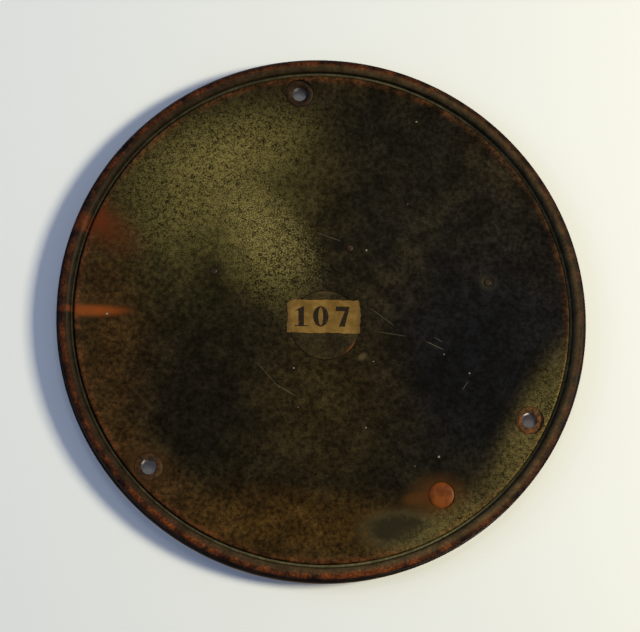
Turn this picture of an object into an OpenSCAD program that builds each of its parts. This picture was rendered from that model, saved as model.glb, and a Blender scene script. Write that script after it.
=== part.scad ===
// Horizontal garden sundial: turned bronze plate in a moulded rim, with a pierced gnomon.
// Millimetres. +Z up, +Y is north along the noon line, origin under the centre of the dial
// on the plane the rim stands on.

/* [Plate] */
// Diameter over the rim
dial_d = 152; // [120:1:220]
// Height of the rim
rim_h = 6.8; // [6:0.1:12]
// Width of the moulded rim, seen from below
rim_w = 5.1; // [4:0.1:9]
// Height of the dial face above the standing plane
face_z = 6.2; // [5.4:0.1:11]
// Height of the flat underside above the standing plane
field_z = 2.8; // [2:0.1:4]
// Width of the curve that runs from the flat underside to the rim
cove_w = 9.4; // [5:0.1:14]

/* [Fixing holes] */
// Bore radius of each fixing hole
fix_r = 2; // [1.5:0.1:3]
// Outside radius of the bush around each hole
bush_r = 4; // [3.2:0.1:5]
// Distance of the holes from the centre
fix_at = 65.9; // [50:0.1:95]

/* [Gnomon] */
// Angle of the style, which is the latitude
latitude = 51.5; // [35:0.5:60]
// Height of the style tip above the dial face
style_h = 44; // [30:1:70]
// Thickness of the gnomon blade
blade_t = 3; // [2:0.1:5]
// Distance of the hour-line centre south of the dial centre
toe_y = 24; // [15:0.5:35]
// Width of the gnomon foot
foot_w = 11; // [8:0.5:16]
// Thickness of the gnomon foot
foot_t = 2; // [1.6:0.1:4]

/* [Underside] */
// Radius of the flush head of the centre stud
stud_head_r = 10; // [6:0.1:14]
// Radius of the copper plug
plug_r = 3.7; // [2:0.1:5]
// Length of the paper label
label_l = 21; // [12:0.5:34]
// Width of the paper label
label_w = 9.7; // [6:0.1:16]

/* [Engraving] */
// Radius of the inner circle of the hour band
band_in = 43.5; // [35:0.5:60]
// Width of the hour band
band_w = 14; // [9:0.5:18]
// Width of an engraved line
line_w = 0.5; // [0.3:0.05:0.9]
// Depth of an engraved line
line_d = 0.3; // [0.15:0.05:0.5]

/* [Hidden] */
$fn = 96;
e = 0.01;
gap = 0.3;
dial_r = dial_d / 2;
seam_r = dial_r - rim_w;
plate_r = seam_r - 0.45;
edge_z = 1.2;
ledge_z = face_z - 1.9;
ledge_w = 2;
flange_r = seam_r + ledge_w - gap;
bead_r = 1.65;
bead_z = 1.6;
bead_at = dial_r - rim_w / 2;
step_z = 2;
lip = 0.35;
shoulder_r = 1.85;
shoulder_z = 1.8;
band_out = band_in + band_w;
cove_in = plate_r - cove_w;
cove_h = field_z - edge_z;
cove_r = (cove_w * cove_w + cove_h * cove_h) / (2 * cove_h);

// Fixing holes, anticlockwise from east seen from above; they are unevenly spaced
fix_angles = [90, -146.8, -35.7];
bush_flange_r = bush_r + 1;
bush_flange_t = 0.8;
bush_z = field_z - 0.5;

// Gnomon, in a side view with Y to the right and Z up
foot_top = face_z + foot_t;
blade_z0 = foot_top;
style_run = style_h / tan(latitude);
tip_y = style_run - toe_y;
blade_toe = foot_t / tan(latitude) - toe_y;
heel_y = tip_y + 14;
foot_s = -toe_y - 8;
foot_n = heel_y + 9;
foot_len = foot_n - foot_s;
foot_mid = (foot_n + foot_s) / 2;
screw_y = [foot_s + 4.5, foot_n - 4.5];
screw_r = 0.9;
screw_head_r = 1.9;
screw_depth = 1.9;
cheek_t = 1.6;
cheek_h = 4.5;
cheek_s = -9;
cheek_n = heel_y - 2;
pin_y = [cheek_s + 4, cheek_n - 4];
pin_z = foot_top + 2.4;
pin_r = 0.9;
pin_head_r = 1.6;
pin_head_t = 0.7;

stud_y = -3;
stud_r = 3.2;
stud_head_t = 1.5;
plug_pos = [-27.5, -54.6];
plug_top = face_z - 1.2;
plug_proud = 0.2;
rivet_r = 1.1;
rivet_top = face_z - 1.2;
rivet_pos = [[-48.4, 5], [30.1, 15.7], [-9.5, 18.7]];
label_t = 0.2;
label_turn = 6;
label_pos = [0.1, -0.5];

// Hour numerals from early morning to evening; noon_at is the place of noon in the list
hour_names = ["V", "VI", "VII", "VIII", "IX", "X", "XI", "XII", "I", "II", "III", "IIII",
    "V", "VI", "VII"];
noon_at = 7;
num_h = 0.5 * band_w;
num_w = 0.9;
thin_w = 0.45;
tick_w = 0.35;
num_v = 4.4;
letter_gap = 0.9;

dial_plate();
rim_ring();
fixing_bushes();
centre_stud();
repair_plug();
small_rivets();
inventory_label();
gnomon_foot();
foot_screws();
gnomon_blade();
gnomon_pins();

// A plain cylinder between two heights
module rod(r, z0, z1) {
    translate([0, 0, z0])
        cylinder(r = r, h = z1 - z0);
}

// Puts its children at each fixing hole
module at_fixings() {
    for (a = fix_angles)
        rotate([0, 0, a])
            translate([fix_at, 0, 0])
                children();
}

// Section of the plate: flat field, cove up to the rim, and a flange on the rim's ledge
module plate_section() {
    difference() {
        union() {
            translate([0, edge_z])
                square([plate_r, face_z - edge_z]);
            translate([0, ledge_z])
                square([flange_r, face_z - ledge_z]);
        }
        translate([-1, 0])
            square([cove_in + 1, field_z]);
        translate([cove_in, field_z - cove_r])
            circle(r = cove_r, $fn = 200);
    }
}

// Engraved circle on the dial face
module engraved_circle(r) {
    rotate_extrude()
        translate([r - line_w / 2, face_z - line_d])
            square([line_w, line_d + 1]);
}

// Direction of an hour line from north, for h hours after noon
function hour_angle(h) =
    let (flat = atan2(sin(latitude) * sin(15 * h), cos(15 * h))) flat;

// Distance along the line from the hour centre to a circle about the dial centre
function reach(a, r) = let (c = cos(a) * toe_y) c + sqrt(c * c + r * r - toe_y * toe_y);

// Engraved hour line from a distance along it to a circle, starting on its side of the blade
module hour_line(h, start, r1) {
    a = hour_angle(h);
    ox = sign(h) * blade_t / 2;
    translate([ox, -toe_y, face_z - line_d])
        rotate([0, 0, 90 - a])
            translate([start, -line_w / 2, 0])
                cube([reach(a, r1) - start, line_w, line_d + 1]);
}

// Engraved stroke of a letter between two points
module stroke(x0, y0, x1, y1, w) {
    len = sqrt((x1 - x0) * (x1 - x0) + (y1 - y0) * (y1 - y0));
    translate([x0, y0, face_z - line_d])
        rotate([0, 0, atan2(y1 - y0, x1 - x0)])
            translate([0, -w / 2, 0])
                cube([len, w, line_d + 1]);
}

// Roman letters built of strokes, with their feet on the line y = 0
function letter_w(c) = c == "I" ? num_w : num_v;
function word_w(s, i = 0) =
    i >= len(s) ? -letter_gap : letter_w(s[i]) + letter_gap + word_w(s, i + 1);

module letter(c) {
    left = num_w / 2;
    right = num_v - num_w / 2;
    if (c == "I")
        stroke(left, 0, left, num_h, num_w);
    if (c == "V") {
        stroke(left, num_h, num_v / 2, 0, num_w);
        stroke(right, num_h, num_v / 2, 0, thin_w);
    }
    if (c == "X") {
        stroke(left, num_h, right, 0, num_w);
        stroke(right, num_h, left, 0, thin_w);
    }
}

module word(s, i = 0, x = 0) {
    if (i < len(s)) {
        translate([x, 0, 0])
            letter(s[i]);
        word(s, i + 1, x + letter_w(s[i]) + letter_gap);
    }
}

// Hour numerals, their feet towards the centre
module numerals() {
    mid = band_in + band_w / 2;
    for (i = [0 : len(hour_names) - 1]) {
        a = hour_angle(i - noon_at);
        x = sin(a) * reach(a, mid);
        y = cos(a) * reach(a, mid) - toe_y;
        rotate([0, 0, atan2(y, x) - 90])
            translate([-word_w(hour_names[i]) / 2, mid - num_h / 2, 0])
                word(hour_names[i]);
    }
}

// Everything cut into the dial face; the strokes stop short of the circles
module engraving() {
    engraved_circle(band_in);
    engraved_circle(band_out);
    for (h = [-noon_at : noon_at])
        if (h != 0)
            hour_line(h, 14, band_in - 1);
    for (q = [-4 * noon_at : 4 * noon_at])
        if (q != 0)
            quarter_tick(q / 4);
    numerals();
}

// Short engraved tick outside the hour band, longer on the half hour
module quarter_tick(h) {
    a = hour_angle(h);
    r = band_out + 0.8;
    tick = h == floor(h) ? 2.6 : h * 2 == floor(h * 2) ? 2 : 1.3;
    x = sign(h) * blade_t / 2 + sin(a) * reach(a, r);
    y = cos(a) * reach(a, r) - toe_y;
    translate([x, y, face_z - line_d])
        rotate([0, 0, 90 - a])
            translate([0, -tick_w / 2, 0])
                cube([tick, tick_w, line_d + 1]);
}

// Turned plate, graduated on top and dished below
module dial_plate() {
    color("saddlebrown")
        difference() {
            rotate_extrude($fn = 200)
                plate_section();
            engraving();
            at_fixings() {
                rod(bush_r + gap, -1, face_z + 1);
                rod(bush_flange_r + gap, face_z - bush_flange_t, face_z + 1);
            }
            translate([0, stud_y, 0]) {
                rod(stud_head_r + gap, 0, field_z + stud_head_t);
                rod(stud_r + gap, 0, face_z + 1);
            }
            translate(plug_pos)
                rod(plug_r + gap, 0, plug_top);
            for (p = rivet_pos)
                translate(p) {
                    rod(rivet_r + gap, 0, rivet_top);
                    rod(rivet_r + 1.2, 0, field_z + 0.3);
                }
            for (y = screw_y)
                translate([0, y, 0])
                    rod(screw_r + gap, face_z - screw_depth - 0.3, face_z + 1);
        }
}

// Section of the rim: bead it stands on with a rounder outer shoulder, flared wall, flat step
// beside the joint, ledge for the plate, broken corners at the top
module rim_section() {
    difference() {
        union() {
            translate([bead_at, bead_z])
                circle(r = bead_r);
            translate([dial_r - lip - shoulder_r, shoulder_z])
                circle(r = shoulder_r);
            polygon([
                [seam_r + ledge_w, bead_z],
                [dial_r - lip, shoulder_z],
                [dial_r, rim_h - 0.8],
                [dial_r, rim_h - 0.5],
                [dial_r - 0.5, rim_h],
                [seam_r + ledge_w + 0.4, rim_h],
                [seam_r + ledge_w, rim_h - 0.4]
            ]);
            translate([seam_r, step_z])
                square([ledge_w + 0.4, ledge_z - step_z]);
        }
        translate([seam_r - 1, -1])
            square([rim_w + 2, 1]);
    }
}

// Moulded ring turned on its own and shrunk round the plate
module rim_ring() {
    color("peru")
        rotate_extrude($fn = 200)
            rim_section();
}

// Flanged bushes around the three fixing holes
module fixing_bushes() {
    color("chocolate")
        at_fixings()
            difference() {
                union() {
                    rod(bush_r, bush_z, face_z);
                    rod(bush_flange_r, face_z - bush_flange_t, face_z);
                }
                rod(fix_r, bush_z - 1, face_z + 1);
            }
}

// Flat-headed stud: head flush below, shank up through the plate and the gnomon's foot
module centre_stud() {
    color("sienna")
        translate([0, stud_y, 0]) {
            rod(stud_head_r, field_z, field_z + stud_head_t);
            rod(stud_r, field_z, foot_top);
        }
}

// Copper plug that fills an old hole from below
module repair_plug() {
    color("orangered")
        translate(plug_pos)
            rod(plug_r, field_z - plug_proud, plug_top);
}

// Three small blind rivets in shallow pits
module small_rivets() {
    color("tomato")
        for (p = rivet_pos)
            translate(p)
                rod(rivet_r, field_z + 0.1, rivet_top);
}

// Paper label with a collection number, stuck across the centre stud's head
module inventory_label() {
    color("wheat")
        translate([label_pos[0], label_pos[1], field_z - label_t])
            rotate([0, 0, label_turn])
                translate([-label_l / 2, -label_w / 2, 0])
                    cube([label_l, label_w, label_t]);
}

// Outline of the foot, round at both ends
module foot_outline() {
    translate([0, foot_s + foot_w / 2])
        circle(r = foot_w / 2);
    translate([0, foot_n - foot_w / 2])
        circle(r = foot_w / 2);
    translate([-foot_w / 2, foot_s + foot_w / 2])
        square([foot_w, foot_len - foot_w]);
}

// Foot with two low cheeks that hold the blade between them
module gnomon_foot() {
    color("darkgoldenrod")
        difference() {
            union() {
                translate([0, 0, face_z])
                    linear_extrude(height = foot_t)
                        foot_outline();
                for (s = [-1, 1])
                    translate([s * (blade_t + cheek_t) / 2 - cheek_t / 2, cheek_s, face_z])
                        cube([cheek_t, cheek_n - cheek_s, foot_t + cheek_h]);
            }
            translate([0, stud_y, 0])
                rod(stud_r + gap, face_z - 1, foot_top + e);
            for (y = screw_y)
                translate([0, y, 0])
                    rod(screw_r + gap, face_z - 1, foot_top + 1);
            for (y = pin_y)
                translate([0, y, pin_z])
                    rotate([0, 90, 0])
                        cylinder(r = pin_r + gap, h = foot_w, center = true);
        }
}

// Two slotted screws that hold the foot's ends down
module foot_screws() {
    color("goldenrod")
        for (y = screw_y)
            translate([0, y, 0])
                difference() {
                    union() {
                        rod(screw_r, face_z - screw_depth, foot_top + 0.1);
                        rod(screw_head_r, foot_top, foot_top + 1.3);
                    }
                    translate([-screw_head_r - 1, -0.25, foot_top + 0.8])
                        cube([2 * screw_head_r + 2, 0.5, 1]);
                }
}

// Side view of the blade: straight style edge, scrolled back, three piercings
module blade_outline() {
    tip_z = face_z + style_h;
    difference() {
        polygon([
            [blade_toe, blade_z0],
            [tip_y, tip_z],
            [tip_y + 2.2, tip_z],
            [heel_y, blade_z0 + 9],
            [heel_y, blade_z0]
        ]);
        translate([heel_y + 8.5, blade_z0 + 24])
            circle(r = 14);
        translate([tip_y - 3.6, blade_z0 + 23.5])
            circle(r = 3.6);
        translate([tip_y - 9, blade_z0 + 12.5])
            circle(r = 5);
        translate([tip_y + 3.2, blade_z0 + 11])
            circle(r = 4.2);
        for (y = pin_y)
            translate([y, pin_z])
                circle(r = pin_r + gap);
    }
}

// Pierced blade whose sloping edge is the style
module gnomon_blade() {
    color("olivedrab")
        translate([-blade_t / 2, 0, 0])
            rotate([90, 0, 90])
                linear_extrude(height = blade_t)
                    blade_outline();
}

// Headed pins through the cheeks and the blade
module gnomon_pins() {
    half = blade_t / 2 + cheek_t;
    color("gold")
        for (y = pin_y)
            translate([0, y, pin_z])
                rotate([0, 90, 0]) {
                    cylinder(r = pin_r, h = 2 * half + 0.2, center = true);
                    translate([0, 0, half])
                        cylinder(r = pin_head_r, h = pin_head_t);
                    translate([0, 0, -half - pin_head_t])
                        cylinder(r = pin_head_r, h = pin_head_t);
                }
}
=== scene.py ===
import math

import bmesh
import bpy
from mathutils import Matrix, Vector


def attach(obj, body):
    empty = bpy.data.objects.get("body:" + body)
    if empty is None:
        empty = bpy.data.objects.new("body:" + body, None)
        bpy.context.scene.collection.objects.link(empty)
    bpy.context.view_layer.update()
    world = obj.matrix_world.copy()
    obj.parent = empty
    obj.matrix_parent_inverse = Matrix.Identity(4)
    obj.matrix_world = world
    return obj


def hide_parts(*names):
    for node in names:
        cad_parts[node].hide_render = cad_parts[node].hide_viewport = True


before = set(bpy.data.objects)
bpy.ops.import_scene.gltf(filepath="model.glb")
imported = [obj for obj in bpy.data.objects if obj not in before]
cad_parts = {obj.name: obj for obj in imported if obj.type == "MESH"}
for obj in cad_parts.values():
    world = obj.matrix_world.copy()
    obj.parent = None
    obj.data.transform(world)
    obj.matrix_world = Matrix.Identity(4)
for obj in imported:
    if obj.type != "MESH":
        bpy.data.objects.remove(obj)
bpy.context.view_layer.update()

# ---------------------------------------------------------------------------------------------
# Turned plate. Cast bronze disc, faced on a lathe, dished below with a cove up to the rim and
# engraved on top. The underside carries the old brown-black patina, rubbed olive and gold
# where hands and cloths have gone over it; part of that olive and gold is painted highlight.

MM = 0.001
# Right and up directions of the underside as it is read, in the frame's X and Y
SIDE = Vector((-0.99407, -0.10878, 0.0))
RISE = Vector((-0.10878, 0.99407, 0.0))

# Underside profile in mm: radius, height
FIELD_Z = 2.8
DISH = 0.45
COVE_IN = 61.35
COVE_R = 28.4
PLATE_R = 70.8
LEDGE_Z = 4.3
FLANGE_R = 72.6
FACE_Z = 6.2
FIX_AT = 65.9
FIX_ANGLES = (90.0, -146.8, -35.7)
STUD_Y = -3.0


def underside_z(r):
    """Height of the plate's underside at a radius, in mm: a shallow dish, then the cove."""
    if r <= COVE_IN:
        return FIELD_Z + DISH * (1.0 - (r / COVE_IN) ** 2)
    return FIELD_Z - (COVE_R - math.sqrt(COVE_R**2 - (r - COVE_IN) ** 2))


def at(u, v):
    """Frame X and Y in mm of a place on the underside, given as it is read: right, up."""
    p = SIDE * u + RISE * v
    return p.x, p.y


def spin(name, profile, steps=256, centre=(0.0, 0.0), closed=True):
    """A turned solid about +Z from a profile of (radius, height) pairs in mm."""
    bm = bmesh.new()
    verts = [bm.verts.new((r * MM, 0.0, z * MM)) for r, z in profile]
    edges = [bm.edges.new(p) for p in zip(verts, verts[1:])]
    if closed:
        edges.append(bm.edges.new((verts[-1], verts[0])))
    bmesh.ops.spin(
        bm,
        geom=verts + edges,
        cent=(0.0, 0.0, 0.0),
        axis=(0.0, 0.0, 1.0),
        angle=math.tau,
        steps=steps,
        use_merge=True,
        use_duplicate=False,
    )
    bmesh.ops.remove_doubles(bm, verts=bm.verts, dist=1e-7)
    bmesh.ops.dissolve_degenerate(bm, edges=bm.edges, dist=1e-8)
    bmesh.ops.recalc_face_normals(bm, faces=bm.faces)
    bmesh.ops.translate(bm, vec=(centre[0] * MM, centre[1] * MM, 0.0), verts=bm.verts)
    mesh = bpy.data.meshes.new(name)
    bm.to_mesh(mesh)
    bm.free()
    return mesh


def piece(name, mesh, material, sharp=35.0):
    """Links a finished mesh as a piece, smooth-shaded with sharp edges kept."""
    mesh.shade_smooth()
    mesh.set_sharp_from_angle(angle=math.radians(sharp))
    obj = bpy.data.objects.new(name, mesh)
    bpy.context.scene.collection.objects.link(obj)
    obj.data.materials.clear()
    obj.data.materials.append(material)
    return obj


def arc(cr, cz, radius, start, end, steps):
    """Points of an arc in the profile plane, angles in degrees from +radius towards +height."""
    span = [start + (end - start) * i / steps for i in range(steps + 1)]
    return [
        (cr + radius * math.cos(math.radians(a)), cz + radius * math.sin(math.radians(a)))
        for a in span
    ]


class Shader:
    """A material or group being written, with short names for the nodes used most."""

    def __init__(self, name, group=False):
        if group:
            self.tree = bpy.data.node_groups.new(name, "ShaderNodeTree")
            self.inputs = self.tree.nodes.new("NodeGroupInput")
            self.outputs = self.tree.nodes.new("NodeGroupOutput")
        else:
            self.material = bpy.data.materials.new(name)
            self.material.use_nodes = True
            self.tree = self.material.node_tree
            self.tree.nodes.clear()

    def add(self, kind, values=None, **props):
        """Adds a node: values by input name or number, props as settings of the node."""
        node = self.tree.nodes.new("ShaderNode" + kind)
        for key, value in props.items():
            setattr(node, key, value)
        for key, value in (values or {}).items():
            self.feed(node.inputs[key], value)
        return node

    def feed(self, socket, value):
        """Links a socket to an input, or sets the input's own value."""
        if isinstance(value, bpy.types.NodeSocket):
            self.tree.links.new(value, socket)
        elif isinstance(value, tuple) and len(value) == 3 and socket.type == "RGBA":
            socket.default_value = (*value, 1.0)
        else:
            socket.default_value = value

    def math(self, op, a, b=0.0):
        return self.add("Math", {0: a, 1: b}, operation=op).outputs[0]

    def ramp(self, value, low, high, out_low=0.0, out_high=1.0):
        """Smooth step of a value from low to high."""
        node = self.add(
            "MapRange",
            {0: value, 1: low, 2: high, 3: out_low, 4: out_high},
            interpolation_type="SMOOTHSTEP",
        )
        return node.outputs[0]

    def mix(self, factor, a, b):
        """Colour a where the factor is 0, b where it is 1."""
        node = self.add("Mix", data_type="RGBA", clamp_factor=True)
        self.feed(node.inputs[0], factor)
        self.feed(node.inputs[6], a)
        self.feed(node.inputs[7], b)
        return node.outputs[2]

    def scale(self, colour, factor):
        """Colour times a number."""
        return self.add("VectorMath", {0: colour, "Scale": factor}, operation="SCALE").outputs[0]

    def noise(self, vector, scale, detail=4.0, rough=0.55, shape=0.0):
        node = self.add(
            "TexNoise",
            {"Vector": vector, "Scale": scale, "Detail": detail, "Roughness": rough},
            noise_dimensions="3D",
        )
        node.inputs["Distortion"].default_value = shape
        return node.outputs[0]

    def group(self, tree, values=None):
        node = self.tree.nodes.new("ShaderNodeGroup")
        node.node_tree = tree
        for key, value in (values or {}).items():
            self.feed(node.inputs[key], value)
        return node

    def principled(self, **values):
        bsdf = self.add("BsdfPrincipled", {k.replace("_", " "): v for k, v in values.items()})
        out = self.add("OutputMaterial")
        self.tree.links.new(bsdf.outputs[0], out.inputs[0])
        return bsdf


def interface(tree, ins, outs):
    """Named sockets of a shader group: name to (type, default), and output names to types."""
    for key, (kind, default) in ins.items():
        item = tree.interface.new_socket(name=key, in_out="INPUT", socket_type=kind)
        if default is not None:
            item.default_value = default
    for key, kind in outs.items():
        tree.interface.new_socket(name=key, in_out="OUTPUT", socket_type=kind)


def place_group():
    """Places on the object in mm: right and up as the underside is read, radius, height."""
    g = Shader("Place", group=True)
    outs = {k: "NodeSocketFloat" for k in ("Right", "Up", "Radius", "Height")}
    interface(g.tree, {}, outs | {"Point": "NodeSocketVector"})
    metres = g.add("TexCoord").outputs["Object"]
    point = g.add("VectorMath", {0: metres, "Scale": 1000.0}, operation="SCALE").outputs[0]
    right = g.add("VectorMath", {0: point, 1: tuple(SIDE)}, operation="DOT_PRODUCT").outputs[1]
    up = g.add("VectorMath", {0: point, 1: tuple(RISE)}, operation="DOT_PRODUCT").outputs[1]
    square = g.math("ADD", g.math("MULTIPLY", right, right), g.math("MULTIPLY", up, up))
    results = {
        "Right": right,
        "Up": up,
        "Radius": g.math("SQRT", square),
        "Height": g.add("SeparateXYZ", {0: point}).outputs[2],
        "Point": point,
    }
    for key, value in results.items():
        g.feed(g.outputs.inputs[key], value)
    return g.tree


def patch_group():
    """Soft-edged patch with a ragged outline: 1 inside, 0 outside."""
    g = Shader("Patch", group=True)
    names = ("Right", "Up", "Ragged", "Centre Right", "Centre Up")
    names += ("Long", "Short", "Turn", "Soft")
    ins = {k: ("NodeSocketFloat", 1.0) for k in names}
    interface(g.tree, ins, {"Mask": "NodeSocketFloat"})
    given = g.inputs.outputs
    du = g.math("SUBTRACT", given["Right"], given["Centre Right"])
    dv = g.math("SUBTRACT", given["Up"], given["Centre Up"])
    c = g.math("COSINE", given["Turn"])
    s = g.math("SINE", given["Turn"])
    a = g.math("ADD", g.math("MULTIPLY", du, c), g.math("MULTIPLY", dv, s))
    b = g.math("SUBTRACT", g.math("MULTIPLY", dv, c), g.math("MULTIPLY", du, s))
    a = g.math("DIVIDE", a, given["Long"])
    b = g.math("DIVIDE", b, given["Short"])
    off = g.math("SQRT", g.math("ADD", g.math("MULTIPLY", a, a), g.math("MULTIPLY", b, b)))
    off = g.math("ADD", off, g.math("SUBTRACT", given["Ragged"], 0.5))
    low = g.math("SUBTRACT", 1.0, given["Soft"])
    high = g.math("ADD", 1.0, given["Soft"])
    g.feed(g.outputs.inputs["Mask"], g.ramp(off, high, low))
    return g.tree


PLACE = place_group()
PATCH = patch_group()


def patch(sh, place, row, ragged):
    """Mask of one patch; row is right, up, long, short, turn in degrees, softness."""
    u, v, long, short, turn, soft = row
    node = sh.group(
        PATCH,
        {
            "Right": place["Right"],
            "Up": place["Up"],
            "Ragged": ragged,
            "Centre Right": float(u),
            "Centre Up": float(v),
            "Long": float(long),
            "Short": float(short),
            "Turn": math.radians(turn),
            "Soft": float(soft),
        },
    )
    return node.outputs["Mask"]


def scratch(sh, place, row):
    """Mask of one straight scratch; row is right, up at each end and half width in mm."""
    u0, v0, u1, v1, half = row
    length = math.hypot(u1 - u0, v1 - v0)
    du, dv = (u1 - u0) / length, (v1 - v0) / length
    a = sh.math("SUBTRACT", place["Right"], u0)
    b = sh.math("SUBTRACT", place["Up"], v0)
    along = sh.math("ADD", sh.math("MULTIPLY", a, du), sh.math("MULTIPLY", b, dv))
    across = sh.math("SUBTRACT", sh.math("MULTIPLY", b, du), sh.math("MULTIPLY", a, dv))
    across = sh.math("ABSOLUTE", across)
    off = sh.math("ABSOLUTE", sh.math("SUBTRACT", along, length / 2))
    taper = sh.ramp(off, length / 2, length / 4)
    return sh.math("MULTIPLY", taper, sh.ramp(across, half, half * 0.3))


# Flat colours of the patina and its marks, linear; the bare gold also serves as a painted
# highlight
OLIVE_BLACK = (0.0080, 0.0062, 0.0032)
OLIVE_BROWN = (0.0210, 0.0145, 0.0055)
BLUE_BLACK = (0.0050, 0.0056, 0.0072)
RED_BROWN = (0.0620, 0.0210, 0.0070)
ORANGE = (0.2600, 0.0560, 0.0100)
BARE_GOLD_AND_HIGHLIGHT = (0.2200, 0.1750, 0.0520)
CREAM = (0.3000, 0.2800, 0.2200)


def plate_material():
    sh = Shader("plate_patina")
    place = sh.group(PLACE).outputs
    point = place["Point"]
    cloud = sh.noise(point, 0.030, 5.0, 0.60, 0.6)
    mottle = sh.noise(point, 0.150, 6.0, 0.65, 0.3)
    grain = sh.noise(point, 0.800, 3.0, 0.60)
    fine = sh.noise(point, 2.6, 2.0, 0.5)
    ragged = sh.math("ADD", sh.math("MULTIPLY", mottle, 0.6), sh.math("MULTIPLY", cloud, 0.4))

    # Base: olive black and olive brown clouds
    colour = sh.mix(sh.ramp(cloud, 0.38, 0.66), OLIVE_BLACK, OLIVE_BROWN)
    # Broad zones: right, up, long, short, turn, softness, colour, strength
    zones = [
        (50, 2, 32, 44, 0, 0.9, BLUE_BLACK, 0.8),
        (42, -15, 20, 22, 20, 0.8, (0.0030, 0.0034, 0.0050), 0.85),
        (22, 50, 26, 14, -20, 0.8, (0.0080, 0.0066, 0.0042), 0.75),
        (51, 46, 15, 6, -48, 0.7, (0.0210, 0.0150, 0.0075), 0.7),
        (-60, -8, 10, 34, 5, 0.8, (0.0320, 0.0150, 0.0040), 0.85),
        (-36, -24, 18, 15, -30, 0.8, (0.0055, 0.0042, 0.0028), 0.85),
        (-46, -50, 32, 7, -42, 0.7, (0.0380, 0.0170, 0.0052), 0.7),
        (-8, -60, 34, 9, -3, 0.7, (0.0440, 0.0215, 0.0046), 0.85),
        (2, -21, 17, 21, 0, 0.8, (0.0190, 0.0125, 0.0044), 0.8),
        # The next three zones, lighter olive at the upper left and along the cove at the lower
        # right, are partly painted highlight
        (-28, 32, 26, 19, 45, 0.8, (0.0400, 0.0320, 0.0092), 0.9),
        (59, -32, 28, 5.5, 62, 0.8, (0.0540, 0.0390, 0.0140), 0.8),
        (36, -58, 24, 6, 30, 0.7, (0.0560, 0.0380, 0.0130), 0.75),
    ]
    for *row, tint, strength in zones:
        mask = sh.math("MULTIPLY", patch(sh, place, row, ragged), strength)
        colour = sh.mix(mask, colour, tint)
    # Red bare arris and its stain next to the rim, lightest on the upper right
    arris = sh.ramp(place["Radius"], 68.3, 70.3)
    arris = sh.math("MULTIPLY", arris, sh.ramp(mottle, 0.25, 0.60))
    arris = sh.math("MULTIPLY", arris, sh.ramp(place["Right"], 75.0, -10.0, 0.45, 0.85))
    colour = sh.mix(arris, colour, RED_BROWN)
    # Uneven thickness of the patina at three sizes
    colour = sh.scale(colour, sh.ramp(mottle, 0.25, 0.75, 0.45, 1.65))
    colour = sh.scale(colour, sh.ramp(grain, 0.28, 0.72, 0.42, 1.70))
    colour = sh.scale(colour, sh.ramp(fine, 0.20, 0.80, 0.65, 1.35))
    # Marks: streaks, stains, rubbed spots and dust
    marks = [
        (-64.8, 0.1, 7.0, 1.3, 1, 0.8, ORANGE, 0.85),
        (-69.0, 0.0, 4.0, 1.5, 0, 0.7, (0.16, 0.040, 0.009), 0.6),
        (-62.0, 24.5, 8.5, 4.5, -32, 0.9, (0.070, 0.0145, 0.0045), 0.7),
        (-66.0, 27.2, 4.6, 2.8, -30, 0.9, (0.110, 0.018, 0.0050), 0.6),
        (32.0, -51.6, 6.5, 4.8, 6, 0.7, (0.070, 0.025, 0.0060), 0.85),
        (26.0, -52.4, 3.8, 1.6, 10, 0.6, (0.080, 0.030, 0.0060), 0.6),
        (20.8, -60.8, 10.2, 5.3, 2, 0.35, (0.064, 0.047, 0.0200), 0.8),
        (20.8, -60.8, 8.4, 3.7, 2, 0.35, (0.016, 0.0135, 0.0070), 0.85),
        (11.0, -12.0, 1.2, 0.8, 30, 0.6, (0.085, 0.060, 0.025), 0.8),
        (3.9, 20.7, 2.6, 2.0, -20, 0.6, (0.0045, 0.0040, 0.0030), 0.8),
        (-31.6, 12.4, 2.6, 2.2, 0, 0.6, (0.0065, 0.0060, 0.0040), 0.7),
        (47.6, 10.2, 2.6, 2.4, 0, 0.3, (0.035, 0.030, 0.0200), 0.45),
        (-7.4, 61.5, 3.0, 1.8, 0, 0.8, (0.020, 0.010, 0.0040), 0.6),
        (-7.2, 65.6, 3.9, 3.6, 0, 0.4, (0.012, 0.0065, 0.0030), 0.85),
        (-49.2, -44.0, 5.2, 4.8, 0, 0.5, (0.050, 0.021, 0.0060), 0.7),
    ]
    for *row, tint, strength in marks:
        mask = sh.math("MULTIPLY", patch(sh, place, row, grain), strength)
        colour = sh.mix(mask, colour, tint)
    cuts = [
        (28.9, -7.1, 34.9, -9.9, 0.14),
        (31.5, -6.0, 34.5, -7.6, 0.10),
        (-14.3, -19.8, -7.2, -24.0, 0.12),
        (39.5, -21.5, 41.5, -18.5, 0.10),
        (-20.0, -13.0, -11.5, -22.5, 0.08),
        (13.0, 2.5, 21.0, -3.5, 0.09),
        (-3.0, 24.5, 5.5, 21.5, 0.10),
        (14.0, -4.5, 24.5, -6.0, 0.09),
        (-18.0, 22.0, -15.0, 16.5, 0.16),
    ]
    scratches = None
    for row in cuts:
        mask = scratch(sh, place, row)
        scratches = mask if scratches is None else sh.math("MAXIMUM", scratches, mask)
    colour = sh.mix(sh.math("MULTIPLY", scratches, 0.55), colour, (0.18, 0.15, 0.09))
    # Sparse pale dust specks, each a small cell's core
    cells = sh.add(
        "TexVoronoi", {"Vector": point, "Scale": 0.16}, feature="F1", voronoi_dimensions="3D"
    )
    lucky = sh.add("SeparateColor", {0: cells.outputs["Color"]})
    size = sh.math("MULTIPLY", lucky.outputs[1], 0.055)
    dust = sh.math("LESS_THAN", cells.outputs["Distance"], size)
    dust = sh.math("MULTIPLY", dust, sh.math("GREATER_THAN", lucky.outputs[0], 0.45))
    colour = sh.mix(sh.math("MULTIPLY", dust, 0.8), colour, CREAM)

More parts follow.
